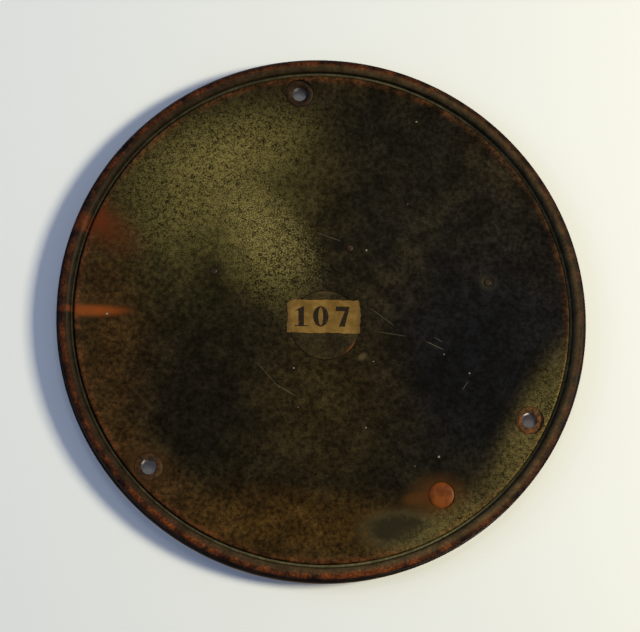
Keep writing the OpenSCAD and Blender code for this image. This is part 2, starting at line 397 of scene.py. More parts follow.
    # Dark wax in the engraved lines of the dial face
    deep = sh.math("GREATER_THAN", place["Height"], 5.0)
    deep = sh.math("MULTIPLY", deep, sh.math("LESS_THAN", place["Height"], 6.16))
    deep = sh.math("MULTIPLY", deep, sh.math("LESS_THAN", place["Radius"], 62.0))
    top = sh.ramp(place["Height"], 6.1, 6.15)
    face = sh.mix(sh.ramp(mottle, 0.35, 0.70), (0.085, 0.060, 0.024), (0.170, 0.130, 0.060))
    verdigris = sh.math("MULTIPLY", sh.ramp(cloud, 0.48, 0.66), sh.ramp(grain, 0.35, 0.6))
    face = sh.mix(sh.math("MULTIPLY", verdigris, 0.45), face, (0.075, 0.150, 0.105))
    colour = sh.mix(top, colour, face)
    colour = sh.mix(deep, colour, (0.006, 0.006, 0.005))

    colour = sh.scale(colour, sh.ramp(top, 0.0, 1.0, 0.88, 1.0))
    # Rubbed metal shows as speckle where the patina is thin. In the upper left and along the cove
    # at the lower right this olive gold speckle is also a painted highlight.
    bright_patches = 0.0
    for *row, strength in [
        (-30, 45, 21, 10, 24, 0.9, 1.0),
        (-19, 24, 19, 9, -62, 0.9, 0.95),
        (-36, 36, 17, 13, 35, 0.9, 0.75),
        (60, -33, 24, 4.5, 62, 0.8, 0.65),
        (35, -61, 18, 4, 28, 0.8, 0.55),
    ]:
        mask = sh.math("MULTIPLY", patch(sh, place, row, ragged), strength)
        bright_patches = sh.math("MAXIMUM", bright_patches, mask)
    speckle = sh.math("ADD", sh.math("MULTIPLY", grain, 0.32), sh.math("MULTIPLY", fine, 0.68))
    bare_and_highlight = sh.math("MULTIPLY", bright_patches, sh.ramp(speckle, 0.37, 0.63, 0.0, 1.0))
    under = sh.math("SUBTRACT", 1.0, top)
    bare_and_highlight = sh.math("MULTIPLY", bare_and_highlight, under)
    colour = sh.mix(sh.math("MULTIPLY", bare_and_highlight, 0.8), colour, BARE_GOLD_AND_HIGHLIGHT)
    speckle_dark = sh.math("MULTIPLY", bright_patches, sh.ramp(speckle, 0.46, 0.38))
    colour = sh.scale(colour, sh.ramp(speckle_dark, 0.0, 1.0, 1.0, 0.8))
    # Painted glints: small bright flecks in the upper left
    painted_glints = patch(sh, place, (-17, 25, 14, 7, -45, 0.9), ragged)
    painted_glints = sh.math("MULTIPLY", painted_glints, sh.ramp(fine, 0.54, 0.64))
    painted_glints = sh.math("MULTIPLY", sh.math("MULTIPLY", painted_glints, under), 0.55)
    colour = sh.mix(painted_glints, colour, (0.330, 0.280, 0.110))
    rough = sh.ramp(ragged, 0.30, 0.70, 0.50, 0.38)
    rough = sh.math("ADD", rough, sh.math("MULTIPLY", dust, 0.3))
    metal = sh.math("ADD", sh.math("MULTIPLY", top, 0.35), sh.math("MULTIPLY", bare_and_highlight, 0.45))
    gloss = sh.math("ADD", 0.05, sh.math("MULTIPLY", top, 0.3))

    # Relief: casting grain, faint turning rings, scratches, a dent and pits
    rings = sh.add(
        "TexNoise",
        {"W": place["Radius"], "Scale": 1.1, "Detail": 3.0, "Roughness": 0.6},
        noise_dimensions="1D",
    ).outputs[0]
    height = sh.math("MULTIPLY", grain, 0.55)
    height = sh.math("ADD", height, sh.math("MULTIPLY", fine, 0.20))
    height = sh.math("ADD", height, sh.math("MULTIPLY", rings, 0.12))
    height = sh.math("ADD", height, sh.math("MULTIPLY", mottle, 0.9))
    height = sh.math("SUBTRACT", height, sh.math("MULTIPLY", scratches, 0.25))
    for row, depth in [
        ((3.9, 20.7, 1.6, 1.3, 0, 0.6), 1.4),
        ((-21.9, 56.3, 0.9, 0.8, 0, 0.6), 1.2),
        ((-31.6, 12.4, 1.0, 1.0, 0, 0.5), 1.0),
        ((47.6, 10.2, 2.3, 2.3, 0, 0.15), 0.3),
    ]:
        dent = patch(sh, place, row, 0.5)
        height = sh.math("SUBTRACT", height, sh.math("MULTIPLY", dent, depth))
    bump = sh.add("Bump", {"Strength": 0.35, "Distance": 0.0002, "Height": height})
    sh.principled(
        Base_Color=colour,
        Metallic=metal,
        Roughness=rough,
        Specular_IOR_Level=gloss,
        Specular_Tint=(1.0, 0.82, 0.55, 1.0),
        Normal=bump.outputs[0],
    )
    return sh.material


def plate_profile():
    """Closed section of the plate, from the middle of the underside round to the top."""
    under = [(0.0, underside_z(0.0))]
    under += [(r, underside_z(r)) for r in [4.0 * i for i in range(1, 15)]]
    under += [(57.0 + 0.75 * i, underside_z(57.0 + 0.75 * i)) for i in range(1, 18)]
    edge_z = underside_z(70.2)
    under += arc(70.3, edge_z + 0.52, 0.5, -80, -6, 7)
    side = [(PLATE_R, LEDGE_Z), (FLANGE_R, LEDGE_Z)]
    top = [(FLANGE_R, FACE_Z - 0.25), (FLANGE_R - 0.25, FACE_Z), (0.0, FACE_Z)]
    return under + side + top


def box_into(bm, x0, x1, y0, y1, z0, z1, place):
    """A box given in mm in a local frame, put into bm by the matrix place."""
    made = bmesh.ops.create_cube(bm, size=1.0)["verts"]
    size = Matrix.Diagonal(((x1 - x0) * MM, (y1 - y0) * MM, (z1 - z0) * MM, 1.0))
    shift = Matrix.Translation(
        ((x0 + x1) / 2 * MM, (y0 + y1) / 2 * MM, (z0 + z1) / 2 * MM)
    )
    bmesh.ops.transform(bm, matrix=place @ shift @ size, verts=made)


def turn_z(degrees, x=0.0, y=0.0):
    """Matrix that turns about +Z and then moves to x, y in mm."""
    return Matrix.Translation((x * MM, y * MM, 0.0)) @ Matrix.Rotation(
        math.radians(degrees), 4, "Z"
    )


# Dial face in mm and degrees, as the hour lines need them
LATITUDE = 51.5
BLADE_T = 3.0
TOE_Y = 24.0
BAND_IN = 43.5
BAND_OUT = 57.5
CUT_Z = FACE_Z - 0.3
HOURS = ("V", "VI", "VII", "VIII", "IX", "X", "XI", "XII")
HOURS += ("I", "II", "III", "IIII", "V", "VI", "VII")


def hour_angle(h):
    """Angle of an hour line from noon, in radians."""
    a = math.radians(15 * h)
    return math.atan2(math.sin(math.radians(LATITUDE)) * math.sin(a), math.cos(a))


def reach(a, r):
    """Length along an hour line from its centre to a circle of radius r round the dial."""
    c = math.cos(a) * TOE_Y
    return c + math.sqrt(c * c + r * r - TOE_Y * TOE_Y)


def engraving():
    """Cutter for the dial face: hour lines, quarter ticks and numerals."""
    bm = bmesh.new()
    top = FACE_Z + 0.5
    for h in range(-7, 8):
        if h:
            a = hour_angle(h)
            where = turn_z(90 - math.degrees(a), math.copysign(BLADE_T / 2, h), -TOE_Y)
            box_into(bm, 14, reach(a, BAND_IN - 1), -0.25, 0.25, CUT_Z, top, where)
    for q in range(-28, 29):
        if q:
            a = hour_angle(q / 4)
            long = 2.6 if q % 4 == 0 else 2.0 if q % 2 == 0 else 1.3
            d = reach(a, BAND_OUT + 0.8)
            where = turn_z(90 - math.degrees(a), math.copysign(BLADE_T / 2, q), -TOE_Y)
            box_into(bm, d, d + long, -0.175, 0.175, CUT_Z, top, where)
    mid, high, fat, thin, wide, space = 50.5, 7.0, 0.9, 0.45, 4.4, 0.9
    for i, name in enumerate(HOURS):
        a = hour_angle(i - 7)
        x, y = math.sin(a) * reach(a, mid), math.cos(a) * reach(a, mid) - TOE_Y
        turn = turn_z(math.degrees(math.atan2(y, x)) - 90)
        widths = [fat if c == "I" else wide for c in name]
        left = -(sum(widths) + space * (len(name) - 1)) / 2
        for c, w in zip(name, widths):
            if c == "I":
                strokes = [(fat / 2, 0, fat / 2, high, fat)]
            elif c == "V":
                strokes = [
                    (fat / 2, high, wide / 2, 0, fat),
                    (wide - fat / 2, high, wide / 2, 0, thin),
                ]
            else:
                strokes = [
                    (fat / 2, high, wide - fat / 2, 0, fat),
                    (wide - fat / 2, high, fat / 2, 0, thin),
                ]
            for x0, y0, x1, y1, t in strokes:
                long = math.hypot(x1 - x0, y1 - y0)
                lean = math.degrees(math.atan2(y1 - y0, x1 - x0))
                where = turn @ turn_z(lean, left + x0, mid - high / 2 + y0)
                box_into(bm, 0, long, -t / 2, t / 2, CUT_Z, top, where)
            left += w + space
    mesh = bpy.data.meshes.new("engraving")
    bm.to_mesh(mesh)
    bm.free()
    return mesh


def carve(mesh, cutter):
    """The mesh with the cutter taken out of it."""
    body = bpy.data.objects.new("carve_body", mesh)
    tool = bpy.data.objects.new("carve_tool", cutter)
    for o in (body, tool):
        bpy.context.scene.collection.objects.link(o)
    mod = body.modifiers.new("cut", "BOOLEAN")
    mod.object, mod.operation, mod.solver = tool, "DIFFERENCE", "EXACT"
    mod.use_self = True
    graph = bpy.context.evaluated_depsgraph_get()
    made = bpy.data.meshes.new_from_object(body.evaluated_get(graph))
    for o in (body, tool):
        bpy.data.objects.remove(o)
    return made


def join(name, meshes):
    """One mesh holding the given ones."""
    bm = bmesh.new()
    for m in meshes:
        bm.from_mesh(m)
    out = bpy.data.meshes.new(name)
    bm.to_mesh(out)
    bm.free()
    return out


def ring_profile(r0, r1, z0, z1):
    """Rectangle between two radii and two heights, in mm."""
    return [(r0, z0), (r1, z0), (r1, z1), (r0, z1)]


def build_plate():
    mesh = spin("dial_plate_body", plate_profile(), 360)
    cutters = [engraving()]
    for r in (BAND_IN, BAND_OUT):
        cutters.append(spin("cutter", ring_profile(r - 0.25, r + 0.25, CUT_Z, FACE_Z + 0.5), 256))
    for a in FIX_ANGLES:
        where = (FIX_AT * math.cos(math.radians(a)), FIX_AT * math.sin(math.radians(a)))
        hole = [(0, -1), (4.05, -1), (4.05, 5.35), (5.1, 5.35), (5.1, 8), (0, 8)]
        cutters.append(spin("cutter", hole, 64, where))
    head = [(0, 0), (10.08, 0), (10.08, 4.4), (3.4, 4.4), (3.4, 8), (0, 8)]
    cutters.append(spin("cutter", head, 96, (0.0, STUD_Y)))
    plug = [(0, 0), (3.75, 0), (3.75, 5.1), (0, 5.1)]
    cutters.append(spin("cutter", plug, 64, (-27.5, -54.6)))
    for x, y in ((-48.4, 5.0), (30.1, 15.7), (-9.5, 18.7)):
        pit = [(0, 0), (2.2, 0), (1.9, 3.1), (1.2, 3.25), (1.2, 5.1), (0, 5.1)]
        cutters.append(spin("cutter", pit, 40, (x, y)))
    for y in (-27.5, 29.5):
        cutters.append(spin("cutter", [(0, 4.0), (1.1, 4.0), (1.1, 8), (0, 8)], 32, (0.0, y)))
    return carve(mesh, join("cutters", cutters))


plate = piece("dial_plate_body", build_plate(), plate_material())
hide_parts("dial_plate")
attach(plate, "root")

# ---------------------------------------------------------------------------------------------
# Moulded rim ring. Turned on its own and shrunk round the plate; from outside in: flared black
# wall, bead it stands on, flat step, then the black joint. Its bead is worn red.

# Two arcs of the lower edge: radius, height, size
BEAD = (73.45, 1.65, 1.65)
SHOULDER = (73.8, 1.85, 1.85)


def rim_profile():
    lower = [(71.0, 2.6), (71.0, 2.1), (71.1, 2.0), (71.68, 1.96), (71.74, 2.12)]
    lower += arc(*BEAD, -188, -92, 18) + arc(*SHOULDER, -88, 3, 18)
    upper = arc(75.5, 6.3, 0.5, 0, 90, 6) + arc(73.4, 6.3, 0.5, 90, 180, 6)
    return lower + upper + [(72.9, LEDGE_Z), (71.0, LEDGE_Z)]


def rim_material():
    sh = Shader("rim_patina")
    place = sh.group(PLACE).outputs
    point = place["Point"]
    cloud = sh.noise(point, 0.045, 5.0, 0.6, 0.5)
    mottle = sh.noise(point, 0.25, 6.0, 0.65, 0.3)
    fine = sh.noise(point, 1.4, 3.0, 0.6)
    radius = place["Radius"]
    right = sh.ramp(place["Right"], -60.0, 60.0)
    # Bead: olive on the inner flank, lighter on the right and darker on the left as painted light
    # and shade; its outer side is dark as painted shade
    olive = sh.mix(right, (0.0200, 0.0110, 0.0054), (0.0540, 0.0350, 0.0150))
    dark = sh.mix(sh.ramp(mottle, 0.35, 0.7), (0.0065, 0.0042, 0.0036), (0.0120, 0.0068, 0.0044))
    colour = sh.mix(sh.ramp(radius, 74.4, 73.4), dark, olive)
    # Painted shade on the outer wall, near black low down and less dark higher up
    wall = sh.math("MULTIPLY", sh.ramp(place["Height"], 0.8, 1.8), sh.ramp(radius, 75.2, 75.5))
    high = sh.ramp(place["Height"], 2.8, 5.2)
    painted_wall_shade = sh.mix(high, (0.0085, 0.0058, 0.0046), (0.0300, 0.0210, 0.0110))
    colour = sh.mix(wall, colour, painted_wall_shade)
    # Grey olive step between bead and joint, lighter on the right and darker on the left as
    # painted light and shade
    inner = sh.ramp(radius, 71.95, 71.7)
    grey = sh.mix(right, (0.0260, 0.0230, 0.0130), (0.0800, 0.0660, 0.0300))
    colour = sh.mix(inner, colour, grey)
    # Red wear on the crest of the bead, heavier on some stretches
    crest = sh.ramp(sh.math("ABSOLUTE", sh.math("SUBTRACT", radius, 74.1)), 1.15, 0.5)
    crest = sh.math("MULTIPLY", crest, sh.ramp(place["Height"], 1.5, 0.9))
    wear = sh.ramp(sh.math("ADD", mottle, sh.math("MULTIPLY", cloud, 0.7)), 0.66, 1.0)
    wear = sh.math("MULTIPLY", wear, sh.ramp(place["Up"], 90.0, -60.0, 0.75, 1.0))
    wear = sh.math("MULTIPLY", wear, sh.ramp(place["Right"], 15.0, 60.0, 1.0, 0.35))
    red = sh.mix(sh.ramp(fine, 0.35, 0.7), (0.050, 0.0125, 0.0038), (0.098, 0.026, 0.0065))
    colour = sh.mix(sh.math("MULTIPLY", crest, wear), colour, red)
    # Painted shade: a dark line in the groove between step and bead
    groove_shade = sh.ramp(sh.math("ABSOLUTE", sh.math("SUBTRACT", radius, 71.8)), 0.30, 0.10)
    colour = sh.mix(sh.math("MULTIPLY", groove_shade, 0.6), colour, (0.006, 0.005, 0.003))
    # The two orange streaks run across the rim
    for row in ((-73.0, 0.3, 4.0, 0.9, 0, 0.5), (-69.5, 25.5, 5.0, 2.6, -20, 0.5)):
        low = sh.ramp(place["Height"], 3.0, 1.8, 0.0, 0.5)
        streak = sh.math("MULTIPLY", patch(sh, place, row, mottle), low)
        colour = sh.mix(streak, colour, (0.14, 0.032, 0.008))
    colour = sh.scale(colour, sh.ramp(mottle, 0.25, 0.75, 0.55, 1.5))
    colour = sh.scale(colour, sh.ramp(fine, 0.25, 0.75, 0.75, 1.25))
    colour = sh.scale(colour, sh.ramp(place["Up"], -25.0, -70.0, 1.0, 1.55))
    top = sh.ramp(place["Height"], 5.6, 6.5)
    bronze = sh.mix(sh.ramp(mottle, 0.35, 0.7), (0.060, 0.042, 0.018), (0.160, 0.110, 0.048))
    colour = sh.mix(top, colour, bronze)
    height = sh.math("ADD", sh.math("MULTIPLY", mottle, 0.8), sh.math("MULTIPLY", fine, 0.4))
    bump = sh.add("Bump", {"Strength": 0.4, "Distance": 0.0002, "Height": height})
    rough = sh.ramp(mottle, 0.3, 0.7, 0.42, 0.55)
    side = sh.math("MULTIPLY", sh.ramp(radius, 75.2, 75.6), sh.math("SUBTRACT", 1.0, top))
    # The outer wall is dull all the way round
    gloss = sh.ramp(top, 0.0, 1.0, 0.05, 0.3)
    gloss = sh.math("MULTIPLY", gloss, sh.ramp(side, 0.0, 1.0, 1.0, 0.0))
    sh.principled(
        Base_Color=colour,
        Metallic=sh.math("MULTIPLY", top, 0.5),
        Roughness=sh.math("ADD", rough, sh.math("MULTIPLY", side, 0.25)),
        Specular_IOR_Level=gloss,
        Normal=bump.outputs[0],
    )
    return sh.material


rim = piece("rim_moulding", spin("rim_moulding", rim_profile(), 480), rim_material(), 50.0)
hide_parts("rim_ring")
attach(rim, "root")

# ---------------------------------------------------------------------------------------------
# Fixing bushes. Three turned bronze bushes soldered into the plate; screws went through them.
# The lower ends are worn to bare orange metal and each is ground to the slope of the cove.


def bush_mesh(angle, mouth):
    """One bush: flange on top, body, and a lower end that follows the cove."""
    bore = 1.98
    end = 2.35
    profile = [(bore, 5.9), (bore, end + 0.8), (mouth, end + 0.05), (mouth + 0.15, end)]
    profile += [(3.7, end), (3.95, end + 0.2), (3.95, 5.4), (4.95, 5.4), (4.95, 6.05)]
    profile += [(4.8, 6.2), (2.3, 6.2)]
    mesh = spin("bush", profile, 72)
    bm = bmesh.new()
    bm.from_mesh(mesh)
    for v in bm.verts:
        if v.co.z < 3.4 * MM:
            out = FIX_AT + v.co.x / MM
            slope = underside_z(min(out, 70.2)) - underside_z(FIX_AT)
            share = min(1.0, max(0.0, (3.4 - v.co.z / MM) / 0.8))
            v.co.z = max(v.co.z + slope * share * 0.8 * MM, 2.31 * MM)
    where = turn_z(angle) @ Matrix.Translation((FIX_AT * MM, 0.0, 0.0))
    bmesh.ops.transform(bm, matrix=where, verts=bm.verts)
    bm.to_mesh(mesh)
    bm.free()
    return mesh


def bush_material():
    sh = Shader("bush_bronze")
    place = sh.group(PLACE).outputs
    fine = sh.noise(place["Point"], 1.1, 5.0, 0.65, 0.3)
    mottle = sh.noise(place["Point"], 0.4, 4.0, 0.6)
    colour = sh.mix(sh.ramp(fine, 0.35, 0.65), (0.030, 0.020, 0.010), (0.11, 0.045, 0.014))
    worn = sh.ramp(sh.math("ADD", fine, sh.math("MULTIPLY", mottle, 0.5)), 0.68, 0.92)
    colour = sh.mix(worn, colour, (0.16, 0.052, 0.014))
    # The bush at the top has kept its patina, the one at the lower left most of it
    kept = sh.math(
        "MAXIMUM",
        patch(sh, place, (-7.2, 65.7, 6.0, 6.0, 0, 0.1), 0.5),
        sh.math("MULTIPLY", patch(sh, place, (-49.2, -44.3, 6.0, 6.0, 0, 0.1), 0.5), 0.72),
    )
    patina = sh.mix(sh.ramp(fine, 0.3, 0.7), (0.010, 0.006, 0.003), (0.030, 0.015, 0.005))
    colour = sh.mix(kept, colour, patina)
    # Painted shade: darker, greyer metal up the bore
    wall = sh.ramp(place["Height"], 2.7, 3.6)
    colour = sh.mix(sh.math("MULTIPLY", wall, 0.8), colour, (0.030, 0.024, 0.018))
    bump = sh.add("Bump", {"Strength": 0.5, "Distance": 0.00015, "Height": fine})
    sh.principled(
        Base_Color=colour, Roughness=0.5, Specular_IOR_Level=0.08, Normal=bump.outputs[0]
    )
    return sh.material


bush_meshes = [bush_mesh(a, m) for a, m in zip(FIX_ANGLES, (2.85, 2.25, 2.2))]
bushes = piece("hole_bushes", join("hole_bushes", bush_meshes), bush_material(), 40.0)
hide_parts("fixing_bushes")
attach(bushes, "root")

# ---------------------------------------------------------------------------------------------
# Centre stud. Flat-headed bronze stud, its head let in flush; the patina runs over it and the
# joint is rubbed orange on one side.


def stud_material():
    sh = Shader("stud_patina")
    place = sh.group(PLACE).outputs
    mottle = sh.noise(place["Point"], 0.22, 6.0, 0.65, 0.4)
    fine = sh.noise(place["Point"], 1.3, 4.0, 0.6)
    colour = sh.mix(sh.ramp(mottle, 0.38, 0.66), (0.014, 0.0095, 0.0036), (0.032, 0.0215, 0.0075))
    colour = sh.scale(colour, sh.ramp(fine, 0.25, 0.75, 0.55, 1.5))
    rows = [((8.2, -9.6, 3.4, 0.75, 48, 0.6), (0.16, 0.060, 0.015), 0.8)]
    rows += [((-9.8, -5.0, 0.8, 4.0, 10, 0.6), (0.06, 0.030, 0.012), 0.5)]
    rows += [((1.0, 6.6, 5.0, 0.6, 0, 0.6), (0.07, 0.045, 0.020), 0.5)]
    for row, tint, strength in rows:
        mask = sh.math("MULTIPLY", patch(sh, place, row, fine), strength)
        colour = sh.mix(mask, colour, tint)
    height = sh.math("ADD", mottle, sh.math("MULTIPLY", fine, 0.5))
    bump = sh.add("Bump", {"Strength": 0.35, "Distance": 0.0002, "Height": height})
    sh.principled(
        Base_Color=colour, Roughness=0.48, Specular_IOR_Level=0.05, Normal=bump.outputs[0]
    )
    return sh.material


def stud_profile():
    foot = underside_z(6.0)
    rows = [(0.0, foot), (9.8, foot), (9.98, foot + 0.18), (9.98, 4.3), (3.15, 4.3)]
    return rows + [(3.15, 8.0), (2.95, 8.19), (0.0, 8.19)]


stud = piece(
    "centre_stud_body",
    spin("centre_stud_body", stud_profile(), 128, (0.0, STUD_Y)),
    stud_material(),
)
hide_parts("centre_stud")
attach(stud, "root")

# ---------------------------------------------------------------------------------------------
# Repair plug. A copper plug driven into an old hole and rubbed smooth, a little proud.


def copper_material(name, base, worn, scale):
    sh = Shader(name)
    place = sh.group(PLACE).outputs
    soft = sh.noise(place["Point"], scale, 4.0, 0.55, 0.3)
    fine = sh.noise(place["Point"], scale * 5, 3.0, 0.6)
    colour = sh.mix(sh.ramp(soft, 0.35, 0.65), base, worn)
    dull = sh.math("MULTIPLY", sh.ramp(fine, 0.55, 0.8), 0.4)
    colour = sh.mix(dull, colour, (0.060, 0.026, 0.008))
    bump = sh.add("Bump", {"Strength": 0.3, "Distance": 0.0002, "Height": soft})
    sh.principled(
        Base_Color=colour, Roughness=0.45, Specular_IOR_Level=0.1, Normal=bump.outputs[0]
    )
    return sh.material


def plug_profile():
    rows = [(0.0, 2.62), (1.6, 2.64), (2.8, 2.72), (3.4, 2.85), (3.66, 3.05)]
    return rows + [(3.69, 4.95), (0.0, 4.95)]


plug = piece(
    "copper_plug",
    spin("copper_plug", plug_profile(), 64, (-27.5, -54.6)),
    copper_material("plug_copper", (0.098, 0.021, 0.003), (0.180, 0.046, 0.007), 0.25),
)
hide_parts("repair_plug")
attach(plug, "root")

# ---------------------------------------------------------------------------------------------
# Small rivets. Three blind copper rivets filed down in shallow round pits.

RIVETS = ((-48.4, 5.0), (30.1, 15.7), (-9.5, 18.7))


def rivet_mesh(x, y):
    rows = [(0.0, 2.92), (0.6, 2.96), (0.95, 3.06), (1.08, 3.2), (1.08, 4.98), (0.0, 4.98)]
    return spin("rivet", rows, 32, (x, y))


rivets = piece(
    "blind_rivets",
    join("blind_rivets", [rivet_mesh(*p) for p in RIVETS]),
    copper_material("rivet_copper", (0.010, 0.007, 0.004), (0.036, 0.018, 0.010), 0.6),
)
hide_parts("small_rivets")
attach(rivets, "root")

# ---------------------------------------------------------------------------------------------
# Number label. A slip of printed paper pasted across the stud's head, browned, torn at the
# corners and rubbed; the number is a plain made-up one.

LABEL_AT = (0.0, -0.5)
LABEL_L, LABEL_W = 20.9, 9.6


def label_mesh():
    """Thin sheet on a fine grid with torn edges, standing on the dished underside."""
    bm = bmesh.new()
    nx, ny = 84, 40
    bmesh.ops.create_grid(bm, x_segments=nx, y_segments=ny, size=0.5)
    for v in bm.verts:
        s, t = v.co.x, v.co.y
        u = LABEL_AT[0] + s * LABEL_L
        w = LABEL_AT[1] + t * LABEL_W
        tear = 0.14 * math.sin(9.0 * t + 1.3) + 0.10 * math.sin(31.0 * t)
        u += tear * abs(2 * s) ** 6
        rough = 0.08 * math.sin(12.0 * s + 0.5) + 0.06 * math.sin(41.0 * s)
        w += rough * abs(2 * t) ** 6
        corner = max(0.0, abs(2 * s) + abs(2 * t) - 1.78)
        if s < 0 and t > 0:
            u += corner * 3.0
            w -= corner * 1.5
        if s > 0 and t > 0:
            u -= corner * 2.2
        x, y = at(u, w)
        z = underside_z(math.hypot(x, y)) - 0.05
        v.co = (x * MM, y * MM, z * MM)
    bmesh.ops.recalc_face_normals(bm, faces=bm.faces)
    for f in bm.faces:
        if f.normal.z > 0:
            f.normal_flip()
    down = bmesh.ops.extrude_face_region(bm, geom=bm.faces[:])
    moved = [g for g in down["geom"] if isinstance(g, bmesh.types.BMVert)]
    bmesh.ops.translate(bm, vec=(0.0, 0.0, -0.06 * MM), verts=moved)
    bmesh.ops.recalc_face_normals(bm, faces=bm.faces)
    mesh = bpy.data.meshes.new("number_label")
    bm.to_mesh(mesh)
    bm.free()
    return mesh


def label_material():
    sh = Shader("label_paper")
    place = sh.group(PLACE).outputs
    mottle = sh.noise(place["Point"], 0.25, 6.0, 0.65, 0.4)
    fibre = sh.noise(place["Point"], 2.2, 4.0, 0.7)
    colour = sh.mix(sh.ramp(mottle, 0.35, 0.7), (0.120, 0.063, 0.011), (0.222, 0.124, 0.029))
    worn = sh.math("MULTIPLY", sh.ramp(fibre, 0.5, 0.75), 0.5)
    colour = sh.mix(worn, colour, (0.120, 0.070, 0.020))
    side = sh.ramp(sh.math("ABSOLUTE", place["Right"]), 8.6, 10.4)
    colour = sh.mix(sh.math("MULTIPLY", side, 0.6), colour, (0.080, 0.044, 0.014))
    bump = sh.add("Bump", {"Strength": 0.3, "Distance": 0.0001, "Height": fibre})
    sh.principled(
        Base_Color=colour, Roughness=0.8, Specular_IOR_Level=0.12, Normal=bump.outputs[0]
    )
    return sh.material


def ink_material():
    sh = Shader("label_ink")
    place = sh.group(PLACE).outputs
    fibre = sh.noise(place["Point"], 2.0, 5.0, 0.7)
    colour = sh.mix(sh.ramp(fibre, 0.56, 0.72), (0.013, 0.008, 0.004), (0.130, 0.075, 0.022))
    sh.principled(Base_Color=colour, Roughness=0.8, Specular_IOR_Level=0.12)
    return sh.material


def printed(bm, outline, hole=()):
    """One stroke of print: a convex outline of (right, up) points in mm, or a ring."""
    loops = []
    for points in (outline, hole):
        loop = []
        for u, w in points:
            x, y = at(u + LABEL_AT[0], w + LABEL_AT[1])
            z = underside_z(math.hypot(x, y)) - 0.118
            loop.append(bm.verts.new((x * MM, y * MM, z * MM)))
        loops.append(loop)
    if not hole:
        bm.faces.new(loops[0])
        return
    for i in range(len(outline)):
        j = (i + 1) % len(outline)
        bm.faces.new((loops[0][i], loops[0][j], loops[1][j], loops[1][i]))


def oval(cx, cy, rx, ry, n=40):
    return [
        (cx + rx * math.cos(math.tau * i / n), cy + ry * math.sin(math.tau * i / n))
        for i in range(n)
    ]


def figures_mesh():
    bm = bmesh.new()
    h = 2.95
    one, nought, seven = -6.5, -0.9, 5.3
    printed(bm, [(one - 0.8, -h), (one + 0.8, -h), (one + 0.8, h), (one - 0.8, h - 0.75)])
    printed(bm, [(one - 1.9, -h), (one + 1.9, -h), (one + 1.9, 0.3 - h), (one - 1.9, 0.3 - h)])
    printed(bm, [(one - 0.8, h - 1.3), (one - 0.8, h - 0.75), (one - 1.75, h - 1.45)])
    printed(bm, oval(nought, 0.0, 2.2, h), oval(nought, 0.0, 0.7, h - 0.35))
    bar = [(-2.0, h - 1.35), (1.7, h - 1.35), (2.1, h), (-1.75, h)]
    printed(bm, [(seven + x, y) for x, y in bar])
    stem = [(-1.05, -h), (0.65, -h), (1.85, h - 1.3), (0.75, h - 1.3)]
    printed(bm, [(seven + x, y) for x, y in stem])
    for f in bm.faces:
        f.normal_update()
        if f.normal.z > 0:
            f.normal_flip()
    mesh = bpy.data.meshes.new("figures")
    bm.to_mesh(mesh)
    bm.free()
    return mesh


label = piece("number_label", label_mesh(), label_material())
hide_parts("inventory_label")
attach(label, "root")
figures = piece("label_figures", figures_mesh(), ink_material())
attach(figures, "root")

# ---------------------------------------------------------------------------------------------
# Gnomon foot. A cast bronze saddle with two cheeks, filed and left to weather; it sits flat on
# the dial face, held by the centre stud and two screws.


def weathered_group():
    """Filed metal left outdoors: dark and light patina, some green, worn places."""
    g = Shader("Weathered", group=True)
    ins = {k: ("NodeSocketColor", None) for k in ("Dark", "Light", "Worn")}
    outs = {"Colour": "NodeSocketColor", "Roughness": "NodeSocketFloat"}
    interface(g.tree, ins, outs | {"Normal": "NodeSocketVector"})
    given = g.inputs.outputs
    point = g.group(PLACE).outputs["Point"]
    cloud = g.noise(point, 0.06, 5.0, 0.6, 0.5)
    mottle = g.noise(point, 0.30, 6.0, 0.65, 0.3)
    fine = g.noise(point, 1.8, 3.0, 0.6)
    colour = g.mix(g.ramp(mottle, 0.35, 0.7), given["Dark"], given["Light"])
    green = g.math("MULTIPLY", g.ramp(cloud, 0.50, 0.68), g.ramp(fine, 0.35, 0.6))
    colour = g.mix(g.math("MULTIPLY", green, 0.4), colour, (0.075, 0.150, 0.105))
    bright_patches = g.math("MULTIPLY", g.ramp(cloud, 0.58, 0.44), g.ramp(fine, 0.50, 0.62))
    colour = g.mix(g.math("MULTIPLY", bright_patches, 0.5), colour, given["Worn"])
    height = g.math("ADD", mottle, g.math("MULTIPLY", fine, 0.5))
    bump = g.add("Bump", {"Strength": 0.3, "Distance": 0.0002, "Height": height})
    g.feed(g.outputs.inputs["Colour"], colour)
    g.feed(g.outputs.inputs["Roughness"], g.ramp(mottle, 0.3, 0.7, 0.36, 0.52))
    g.feed(g.outputs.inputs["Normal"], bump.outputs[0])
    return g.tree


WEATHERED = weathered_group()


def weathered_material(name, dark, light, worn):
    sh = Shader(name)
    made = sh.group(WEATHERED, {"Dark": dark, "Light": light, "Worn": worn}).outputs
    sh.principled(
        Base_Color=made["Colour"],
        Metallic=0.6,
        Roughness=made["Roughness"],
        Normal=made["Normal"],
    )
    return sh.material


def dress(name, material):
    """Gives a CAD node its material."""
    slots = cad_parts[name].data.materials
    slots.clear()
    slots.append(material)


dress(
    "gnomon_foot",
    weathered_material(
        "foot_bronze", (0.065, 0.047, 0.021), (0.140, 0.102, 0.046), (0.30, 0.20, 0.090)
    ),
)

# ---------------------------------------------------------------------------------------------
# Foot screws. Two turned brass screws with slotted round heads, let into the foot.

dress(
    "foot_screws",
    weathered_material(
        "screw_brass", (0.090, 0.062, 0.024), (0.190, 0.138, 0.060), (0.40, 0.29, 0.13)
    ),
)

# ---------------------------------------------------------------------------------------------
# Gnomon blade. Bronze plate sawn out, pierced with three round holes and filed to a straight
# style edge, rubbed brighter in places; it stands between the cheeks of the foot.

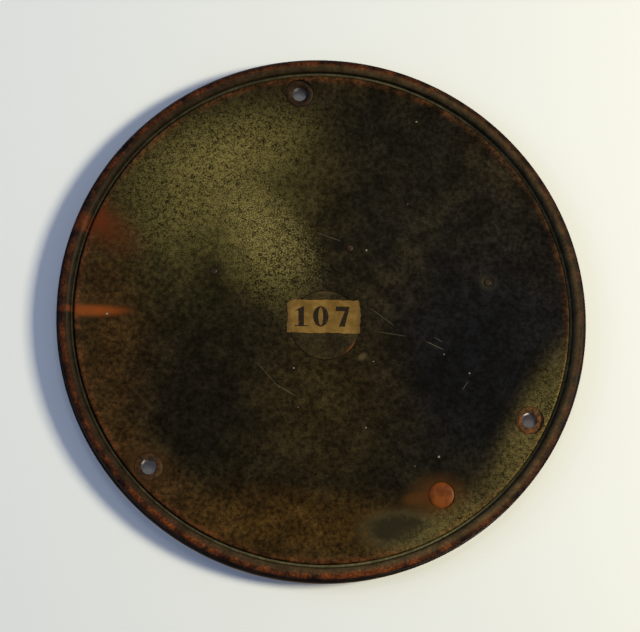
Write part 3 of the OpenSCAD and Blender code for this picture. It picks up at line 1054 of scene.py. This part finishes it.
dress(
    "gnomon_blade",
    weathered_material(
        "blade_bronze", (0.060, 0.045, 0.021), (0.130, 0.098, 0.045), (0.32, 0.22, 0.100)
    ),
)

# ---------------------------------------------------------------------------------------------
# Gnomon pins. Two brass pins driven through the cheeks and the blade, their ends filed flat.

dress(
    "gnomon_pins",
    weathered_material(
        "pin_brass", (0.110, 0.076, 0.030), (0.230, 0.165, 0.072), (0.45, 0.32, 0.14)
    ),
)

# ---------------------------------------------------------------------------------------------
# Stage. Two pale sheets, each seen from one side only: one behind the object for the view of
# the underside, and a floor under it for the views from above.


# Pale backdrop that both sheets fade into
HAZE = (0.80, 0.81, 0.83, 1.0)


def sheet_material(name, colour, near, far):
    """Matt sheet that fades into the pale backdrop between two radii in mm."""
    sh = Shader(name)
    back = sh.add("NewGeometry").outputs["Backfacing"]
    matt = sh.add("BsdfDiffuse", {"Color": (*colour, 1.0)}).outputs[0]
    haze = sh.add("Emission", {"Color": HAZE, "Strength": 1.0}).outputs[0]
    fade = sh.ramp(sh.group(PLACE).outputs["Radius"], near, far)
    face = sh.add("MixShader", {0: fade, 1: matt, 2: haze}).outputs[0]
    clear = sh.add("BsdfTransparent").outputs[0]
    both = sh.add("MixShader", {0: back, 1: face, 2: clear}).outputs[0]
    out = sh.add("OutputMaterial")
    sh.tree.links.new(both, out.inputs[0])
    return sh.material


def sheet(name, half, z, facing_up, material):
    bm = bmesh.new()
    bmesh.ops.create_grid(bm, x_segments=2, y_segments=2, size=half)
    bmesh.ops.translate(bm, vec=(0.0, 0.0, z), verts=bm.verts)
    mesh = bpy.data.meshes.new(name)
    bm.to_mesh(mesh)
    bm.free()
    if not facing_up:
        mesh.flip_normals()
    obj = bpy.data.objects.new(name, mesh)
    bpy.context.scene.collection.objects.link(obj)
    obj.data.materials.append(material)
    for ray in ("diffuse", "glossy", "transmission", "volume_scatter", "shadow"):
        setattr(obj, "visible_" + ray, False)
    return obj


PAPER = sheet_material("paper_white", (0.80, 0.80, 0.80), 400.0, 1100.0)
FLOOR = sheet_material("floor_white", (0.78, 0.78, 0.77), 180.0, 1000.0)
sheet("paper", 1.2, 0.00685, False, PAPER)
sheet("floor", 6.0, 0.0, True, FLOOR)

# ---------------------------------------------------------------------------------------------
# Camera under the object, tilted towards the lower left of the underside.

CENTRE = Vector((0.0, 0.0, 0.003))
DOWN = Vector((0.0, 0.0, -1.0))
TILT, TOWARDS, DISTANCE = 11.962, 247.374, 0.508


def seen(right, up, near):
    """A point given in metres as the underside is read: right, up and towards the viewer."""
    return CENTRE + SIDE * right + RISE * up + DOWN * near


camera = bpy.data.objects.new("camera", bpy.data.cameras.new("camera"))
bpy.context.scene.collection.objects.link(camera)
camera.data.lens = 100.03
camera.data.shift_x = -3.9 / 640
camera.data.shift_y = -1.4 / 640
camera.data.clip_start = 0.01
camera.data.clip_end = 50.0
tilt, towards = math.radians(TILT), math.radians(TOWARDS)
camera.location = seen(
    DISTANCE * math.sin(tilt) * math.cos(towards),
    DISTANCE * math.sin(tilt) * math.sin(towards),
    DISTANCE * math.cos(tilt),
)
look = (CENTRE - camera.location).normalized()
side = look.cross(RISE).normalized()
camera.rotation_euler = Matrix((side, side.cross(look), -look)).transposed().to_euler()
bpy.context.scene.camera = camera

# ---------------------------------------------------------------------------------------------
# Lights. Three below for the underside, a warm one from the right and a cool one from the
# left; three above for the dial face; a dim bluish sky all round.


def lamp(name, where, target, size, watts, colour):
    """A square soft light aimed at a point."""
    data = bpy.data.lights.new(name, "AREA")
    data.shape, data.size = "SQUARE", size
    data.energy = watts
    data.color = colour
    obj = bpy.data.objects.new(name, data)
    bpy.context.scene.collection.objects.link(obj)
    obj.location = where
    obj.rotation_euler = (target - where).to_track_quat("-Z", "Y").to_euler()
    return obj


lamp("under_top", seen(-0.01, 0.16, 0.50), CENTRE, 0.16, 0.22, (1.0, 0.95, 0.85))
lamp("under_warm", seen(0.79, 0.066, 0.628), CENTRE, 0.225, 12.3, (1.0, 0.95, 0.69))
lamp("under_cool", seen(-0.48, 0.10, 0.34), CENTRE, 0.35, 0.8, (0.46, 0.63, 1.0))
lamp("over_key", Vector((-0.35, -0.40, 0.60)), CENTRE, 0.22, 6.6, (1.0, 0.93, 0.82))
lamp("over_fill", Vector((0.60, -0.30, 0.40)), CENTRE, 0.60, 2.6, (0.94, 0.96, 1.0))
lamp("over_back", Vector((0.10, 0.60, 0.50)), CENTRE, 0.50, 1.8, (0.96, 0.98, 1.0))

world = bpy.data.worlds.new("studio")
bpy.context.scene.world = world
world.use_nodes = True
tree = world.node_tree
tree.nodes.clear()
skies = []
for colour, strength in (((0.55, 0.68, 1.0, 1.0), 0.24), (HAZE, 1.0)):
    sky = tree.nodes.new("ShaderNodeBackground")
    sky.inputs["Color"].default_value = colour
    sky.inputs["Strength"].default_value = strength
    skies.append(sky.outputs[0])
# The camera sees the pale backdrop, everything else the dim sky
choice = tree.nodes.new("ShaderNodeMixShader")
path = tree.nodes.new("ShaderNodeLightPath")
tree.links.new(path.outputs["Is Camera Ray"], choice.inputs[0])
for socket, sky in zip(list(choice.inputs)[1:], skies):
    tree.links.new(sky, socket)
tree.links.new(choice.outputs[0], tree.nodes.new("ShaderNodeOutputWorld").inputs[0])
bpy.context.scene.view_settings.view_transform = "Standard"
bpy.context.scene.view_settings.look = "None"
